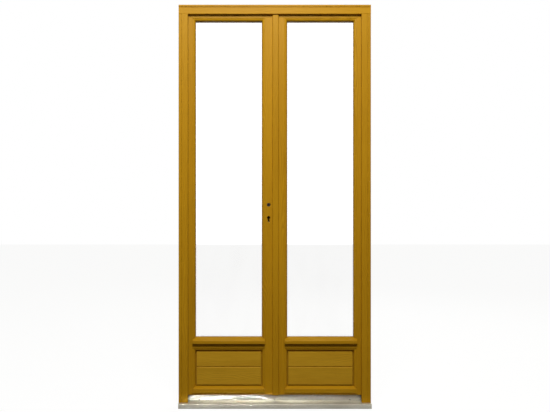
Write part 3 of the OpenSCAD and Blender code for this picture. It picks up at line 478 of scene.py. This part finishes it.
def apply_place():
    """Puts the active piece's place, turn and scale into its mesh"""
    bpy.ops.object.transform_apply(location=True, rotation=True, scale=True)


def copied(piece, steps):
    """The piece at each step from its place, every copy with its own mesh; the first is itself"""
    pieces = [piece]
    for step in steps[1:]:
        pick_nothing()
        piece.select_set(True)
        bpy.context.view_layer.objects.active = piece
        bpy.ops.object.duplicate(linked=False)
        bpy.ops.transform.translate(value=step)
        pieces.append(bpy.context.object)
    return pieces


def joined(pieces):
    """Joins pieces into one, which is left active"""
    pick_nothing()
    for piece in pieces:
        piece.select_set(True)
    bpy.context.view_layer.objects.active = pieces[0]
    bpy.ops.object.join()


def settle(name, material):
    """Names the active piece, gives it a material and puts its place into its mesh"""
    piece = bpy.context.object
    piece.name = name
    piece.data.name = name
    apply_place()
    piece.data.materials.append(material)
    return piece


class DOORS_OT_timber(bpy.types.Operator):
    """Stain and varnish the frame, the leaves, the boards and the beads"""

    bl_idname = "doors.timber"
    bl_label = "Timber"

    def execute(self, context):
        settings = context.scene.doors_timber
        upright, across = (0.0, 0.0, 0.0), (0.0, QUARTER, 0.0)
        effects = shared_effects()
        plan = [
            ("timber frame upright", ("frame_left_stile", "frame_right_stile"), upright, 1.00),
            ("timber frame across", ("frame_head",), across, 1.04),
            ("timber cover strip", ("astragal",), upright, 1.02)]
        for side in SIDES:
            plan += [
                (f"timber {side} hinge stile", (f"{side}_hinge_stile",), upright, 0.96),
                (f"timber {side} meeting stile", (f"{side}_meeting_stile",), upright, 1.03),
                (f"timber {side} rails", (f"{side}_top_rail", f"{side}_middle_rail",
                                          f"{side}_bottom_rail"), across, 0.99),
                (f"timber {side} upper board", (f"{side}_upper_board",), across, 1.05),
                (f"timber {side} lower board", (f"{side}_lower_board",), across, 1.00),
                (f"timber {side} beads", (f"{side}_glass_beads", f"{side}_panel_beads"),
                 upright, 1.02)]
        for number, (name, nodes, turn, tone) in enumerate(plan):
            shift = (0.37 * number, 0.21 * number, 1.7 * number)
            pale = settings.boards if "board" in name else settings.pale
            finish_nodes(nodes, timber(name, effects, settings, turn, shift, tone, pale))
        return {"FINISHED"}


class DOORS_OT_metalwork(bpy.types.Operator):
    """Finish the threshold, the hinges, the lock and the bolts"""

    bl_idname = "doors.metalwork"
    bl_label = "Metalwork"

    def execute(self, context):
        settings = context.scene.doors_metal
        effects = shared_effects()
        # The last value gives full strength to the painted shade in the threshold's closed cavities,
        # such as its drain holes.
        threshold = metal("threshold aluminium", effects, settings.alloy,
                          settings.line_scale, 0.55, 0.0008, 0.6, 1.0)
        finish_nodes(("threshold",), threshold)
        plated = metal("plated steel", effects, settings.steel,
                       settings.line_scale * 1.3, 0.35, 0.0004)
        steel_nodes = [part["node"] for part in frame["record"]["subparts"]
                       if part["material_slot"] == "steel"]
        finish_nodes(steel_nodes, plated)
        return {"FINISHED"}


class DOORS_OT_screws(bpy.types.Operator):
    """Model the countersunk screws of the meeting edges, with their cross recesses"""

    bl_idname = "doors.screws"
    bl_label = "Edge screws"

    def execute(self, context):
        plated = bpy.data.materials["plated steel"]
        for node_name, outward, body in (("faceplate_screws", 1, "left_leaf"),
                                         ("flush_screws", -1, "right_leaf")):
            boxes = spread(node_name, 2)
            low, high = boxes[0]
            middle = (low + high) / 2
            head = high.x if outward > 0 else low.x
            first = self.screw(head, middle, high.x - low.x, outward)
            places = [(box[0] + box[1]) / 2 - middle for box in boxes]
            joined(copied(first, places))
            piece = settle(f"{node_name}_recessed", plated)
            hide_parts(node_name)
            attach(piece, body)
        return {"FINISHED"}

    def screw(self, head, middle, length, outward):
        """One screw along X with its head's face at the given place"""
        radius, shank, depth, tip = 0.0034, 0.0018, 0.002, 0.004
        slot_length, slot_width, slot_size = 0.0036, 0.0008, 0.0026
        pick_nothing()
        bpy.ops.mesh.primitive_cylinder_add(
            vertices=32, radius=radius, depth=depth,
            location=(head - outward * depth / 2, middle.y, middle.z), rotation=(0, QUARTER, 0))
        piece = bpy.context.object
        bpy.ops.object.mode_set(mode="EDIT")
        inner = head - outward * depth
        pick("FACE", lambda place: abs(place.x - inner) < CLOSE)
        share = shank / radius
        bpy.ops.transform.resize(value=(1.0, share, share))
        bpy.ops.mesh.extrude_region_move(
            TRANSFORM_OT_translate={"value": (-outward * (length - depth - tip), 0, 0)})
        bpy.ops.mesh.extrude_region_move(
            TRANSFORM_OT_translate={"value": (-outward * tip, 0, 0)})
        bpy.ops.transform.resize(value=(1.0, 0.15, 0.15))
        bpy.ops.object.mode_set(mode="OBJECT")
        apply_place()
        for size in ((slot_size, slot_length, slot_width), (slot_size, slot_width, slot_length)):
            bpy.ops.object.select_all(action="DESELECT")
            bpy.ops.mesh.primitive_cube_add(size=1, location=(head, middle.y, middle.z))
            cutter = bpy.context.object
            cutter.scale = size
            apply_place()
            bpy.ops.object.select_all(action="DESELECT")
            piece.select_set(True)
            bpy.context.view_layer.objects.active = piece
            cut = piece.modifiers.new("recess", "BOOLEAN")
            cut.operation = "DIFFERENCE"
            cut.solver = "EXACT"
            cut.object = cutter
            bpy.ops.object.modifier_apply(modifier=cut.name)
            bpy.data.objects.remove(cutter)
        return piece


class DOORS_OT_glazing(bpy.types.Operator):
    """Finish the glass, and lay a sealant fillet round each side of it"""

    bl_idname = "doors.glazing"
    bl_label = "Glazing"

    def execute(self, context):
        settings = context.scene.doors_glazing
        effects = shared_effects()
        glass = clear_glass("float glass", settings.tint)
        tape = rubber("glazing tape", effects, (0.035, 0.032, 0.03), 0.6)
        block = rubber("setting blocks", effects, (0.02, 0.02, 0.022), 0.5)
        spacer = metal("glazing spacer", effects, (0.55, 0.55, 0.56), 900.0, 0.2, 0.0003)
        sealant = rubber("sealant", effects, tuple(settings.sealant), 0.42)
        for side in SIDES:
            finish_nodes((f"{side}_outer_pane", f"{side}_inner_pane"), glass)
            finish_nodes((f"{side}_glazing_tapes",), tape)
            finish_nodes((f"{side}_setting_blocks",), block)
            finish_nodes((f"{side}_pane_spacer",), spacer)
            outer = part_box(f"{side}_outer_pane")
            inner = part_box(f"{side}_inner_pane")
            for name, face, way, hold in (("outside", outer[0][1], -1, 0.011),
                                          ("inside", inner[1][1], 1, 0.007)):
                low = Vector((outer[0][0] + hold, face, outer[0][2] + hold))
                high = Vector((outer[1][0] - hold, face, outer[1][2] - hold))
                piece = self.fillet(low, high, way, settings.fillet)
                piece = settle(f"{side}_{name}_sealant", sealant)
                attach(piece, f"{side}_leaf")
        return {"FINISHED"}

    def fillet(self, low, high, way, width):
        """A ring of sealant against the glass, thick at the timber and thin at the glass"""
        middle = (low + high) / 2
        pick_nothing()
        bpy.ops.mesh.primitive_plane_add(size=1, location=middle, rotation=(QUARTER, 0, 0))
        piece = bpy.context.object
        piece.scale = (high.x - low.x, high.z - low.z, 1)
        apply_place()
        bpy.ops.object.mode_set(mode="EDIT")
        bpy.ops.mesh.select_all(action="SELECT")
        bpy.ops.mesh.inset(thickness=width, depth=0)
        bpy.ops.mesh.delete(type="ONLY_FACE")
        bpy.ops.mesh.select_all(action="SELECT")
        bpy.ops.mesh.extrude_region_move(
            TRANSFORM_OT_translate={"value": (0, way * width, 0)})

        def raised_inner(place):
            away = abs(place.y - middle.y - way * width) < CLOSE
            inside_x = abs(abs(place.x - middle.x) - (high.x - low.x) / 2 + width) < CLOSE
            inside_z = abs(abs(place.z - middle.z) - (high.z - low.z) / 2 + width) < CLOSE
            return away and (inside_x or inside_z)

        pick("EDGE", raised_inner)
        bpy.ops.mesh.bevel(offset=width * 0.8, segments=3, profile=0.35)
        bpy.ops.mesh.select_all(action="SELECT")
        bpy.ops.mesh.remove_doubles(threshold=1e-6)
        bpy.ops.mesh.normals_make_consistent(inside=False)
        bpy.ops.object.mode_set(mode="OBJECT")
        return piece


class DOORS_OT_seals(bpy.types.Operator):
    """Model the round-backed seals on the lips and finish the threshold's strip"""

    bl_idname = "doors.seals"
    bl_label = "Seals"

    def execute(self, context):
        effects = shared_effects()
        black = rubber("black seal", effects, (0.022, 0.022, 0.023), 0.5)
        finish_nodes(("threshold_seal", "frame_seals"), black)
        parts = spread("frame_seals", 0)
        left, top, right = parts[0], parts[1], parts[-1]
        pieces = []
        for low, high in (left, right):
            pieces.append(self.strip(low, high, 2))
        pieces.append(self.strip(top[0], top[1], 0))
        joined(pieces)
        piece = settle("frame_seals_rounded", black)
        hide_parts("frame_seals")
        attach(piece, "frame")
        return {"FINISHED"}

    def strip(self, low, high, along):
        """A seal with a rounded back, run along an axis inside its box"""
        across = 2 - along
        size = high - low
        middle = (low + high) / 2
        middle[along] = low[along]
        pick_nothing()
        turn = (0, 0, 0) if along == 2 else (0, QUARTER, 0)
        bpy.ops.mesh.primitive_plane_add(size=1, location=middle, rotation=turn)
        piece = bpy.context.object
        piece.scale = (size[across], size.y, 1)
        apply_place()
        bpy.ops.object.mode_set(mode="EDIT")
        pick("VERT", lambda place: place.y > middle.y)
        bpy.ops.mesh.bevel(offset=min(size[across], size.y) * 0.48, segments=5,
                           affect="VERTICES")
        bpy.ops.mesh.select_all(action="SELECT")
        way = [0, 0, 0]
        way[along] = size[along]
        bpy.ops.mesh.extrude_region_move(TRANSFORM_OT_translate={"value": way})
        bpy.ops.mesh.select_all(action="SELECT")
        bpy.ops.mesh.normals_make_consistent(inside=False)
        bpy.ops.object.mode_set(mode="OBJECT")
        return piece


class DOORS_OT_drains(bpy.types.Operator):
    """Model black sleeves in the drain holes of the threshold, dark pieces that stand in for the shade
    inside the holes
    """

    bl_idname = "doors.drains"
    bl_label = "Drain hole shade"

    def execute(self, context):
        settings = context.scene.doors_metal
        reach, height = settings.drain_reach, settings.drain_height
        radius, length, front = 0.0034, 0.006, 0.0313
        wall, bottom = 0.0005, 0.0012
        # Painted shade: black rubber sleeves fill the drain holes so that the holes read dark, as shade
        # inside them would.
        pick_nothing()
        bpy.ops.mesh.primitive_cylinder_add(
            vertices=32, radius=radius, depth=length,
            location=(-reach, front + length / 2, height), rotation=(QUARTER, 0, 0))
        bpy.ops.object.mode_set(mode="EDIT")
        pick("FACE", lambda place: abs(place.y - front) < CLOSE)
        bpy.ops.mesh.inset(thickness=wall, depth=0)
        bpy.ops.mesh.extrude_region_move(
            TRANSFORM_OT_translate={"value": (0, length - bottom, 0)})
        bpy.ops.object.mode_set(mode="OBJECT")
        joined(copied(bpy.context.object, [Vector((step * reach, 0, 0)) for step in range(3)]))
        piece = settle("drain_hole_shade", bpy.data.materials["black seal"])
        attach(piece, "frame")
        return {"FINISHED"}


class DOORS_OT_studio(bpy.types.Operator):
    """Set up the floor, the lights, the backdrop and the camera"""

    bl_idname = "doors.studio"
    bl_label = "Studio"

    def execute(self, context):
        settings = context.scene.doors_studio
        scene = context.scene
        pick_nothing()
        bpy.ops.mesh.primitive_plane_add(size=30, location=(0, 0, -0.001))
        floor = settle("studio_floor", self.floor_finish())
        self.light("key light", (-0.15, -2.6, 3.6), (0.0, 0.0, 1.25), 1.5, settings.key_power)
        for name, start, width, share in (("low light left", -0.42, 0.8, 1.0),
                                          ("low light", 0.0, 1.1, 0.4)):
            low = self.light(name, (start, -1.3, 0.04), (start + 0.04, 0.0, 0.045), width,
                             settings.low_power * share)
            low.data.shape = "RECTANGLE"
            low.data.size_y = 0.03
            low.data.spread = 0.06
        self.light("room light", (1.3, 3.2, 3.4), (0.0, 0.0, 1.0), 1.6, settings.fill_power)
        self.backdrop()
        bpy.ops.object.camera_add(location=settings.camera_place, rotation=(QUARTER, 0, 0))
        camera = bpy.context.object
        camera.name = "studio camera"
        camera.data.lens = settings.lens
        camera.data.shift_x = 0.0449
        camera.data.shift_y = 0.00067
        scene.camera = camera
        scene.view_settings.view_transform = "Standard"
        return {"FINISHED"}

    def light(self, name, place, target, size, power):
        """A square soft light turned to its target"""
        bpy.ops.object.light_add(type="AREA", location=place)
        lamp = bpy.context.object
        lamp.name = name
        lamp.data.size = size
        lamp.data.energy = power
        lamp.visible_camera = False
        lamp.visible_transmission = False
        aim = Vector(target) - Vector(place)
        lamp.rotation_euler = aim.to_track_quat("-Z", "Y").to_euler()
        return lamp

    def floor_finish(self):
        """Pale plain floor"""
        material, tree, shader, place = start_material("studio floor")
        shade = noise(tree, place, 2.0, 2.0)
        tree.links.new(blended(tree, ranged(tree, shade, 0.3, 0.7, 0.0, 1.0),
                               (0.86, 0.86, 0.85, 1.0), (0.84, 0.84, 0.83, 1.0)),
                       shader.inputs["Base Color"])
        shader.inputs["Roughness"].default_value = 0.9
        seen = node(tree, "ShaderNodeLightPath")
        straight = maths(tree, "MAXIMUM", seen.outputs["Is Camera Ray"],
                         seen.outputs["Is Transmission Ray"])
        glow = node(tree, "ShaderNodeEmission",
                    {"Color": (1.0, 1.0, 0.995, 1.0), "Strength": 1.05})
        dim = node(tree, "ShaderNodeBsdfDiffuse", {"Color": (0.14, 0.14, 0.14, 1.0)})
        show = node(tree, "ShaderNodeMixShader", {0: 0.9})
        tree.links.new(shader.outputs[0], show.inputs[1])
        tree.links.new(glow.outputs[0], show.inputs[2])
        choose = node(tree, "ShaderNodeMixShader")
        polished = maths(tree, "MULTIPLY", seen.outputs["Is Glossy Ray"], 0.45)
        tree.links.new(maths(tree, "MAXIMUM", straight, polished), choose.inputs[0])
        tree.links.new(dim.outputs[0], choose.inputs[1])
        tree.links.new(show.outputs[0], choose.inputs[2])
        out = tree.nodes["Material Output"]
        tree.links.new(choose.outputs[0], out.inputs["Surface"])
        return material

    def backdrop(self):
        """White to look at, and dim as a light"""
        world = bpy.data.worlds.new("studio backdrop")
        world.use_nodes = True
        bpy.context.scene.world = world
        tree = world.node_tree
        seen = node(tree, "ShaderNodeLightPath")
        through = maths(tree, "MULTIPLY", seen.outputs["Is Transmission Ray"], 1.25)
        straight = maths(tree, "MAXIMUM", seen.outputs["Is Camera Ray"], through)
        tree.links.new(maths(tree, "MAXIMUM", straight, 0.075),
                       tree.nodes["Background"].inputs["Strength"])
        tree.nodes["Background"].inputs["Color"].default_value = (1, 1, 1, 1)


class DOORS_PT_panel(bpy.types.Panel):
    """Steps of the doors, in order"""

    bl_label = "French doors"
    bl_space_type = "VIEW_3D"
    bl_region_type = "UI"
    bl_category = "Doors"

    def draw(self, context):
        for step in STEPS:
            self.layout.operator(step.bl_idname)


STEPS = (DOORS_OT_timber, DOORS_OT_metalwork, DOORS_OT_screws, DOORS_OT_glazing,
         DOORS_OT_seals, DOORS_OT_drains, DOORS_OT_studio)
SETTINGS = {"doors_timber": TimberSettings, "doors_metal": MetalSettings,
            "doors_glazing": GlazingSettings, "doors_studio": StudioSettings}


def register():
    for kind in (*SETTINGS.values(), *STEPS, DOORS_PT_panel):
        bpy.utils.register_class(kind)
    for name, kind in SETTINGS.items():
        setattr(bpy.types.Scene, name, bpy.props.PointerProperty(type=kind))


def unregister():
    for name in SETTINGS:
        delattr(bpy.types.Scene, name)
    for kind in reversed((*SETTINGS.values(), *STEPS, DOORS_PT_panel)):
        bpy.utils.unregister_class(kind)


def main():
    register()
    bpy.ops.doors.timber()
    bpy.ops.doors.metalwork()
    bpy.ops.doors.screws()
    bpy.ops.doors.glazing()
    bpy.ops.doors.seals()
    bpy.ops.doors.drains()
    bpy.ops.doors.studio()


if __name__ == "__main__":
    main()
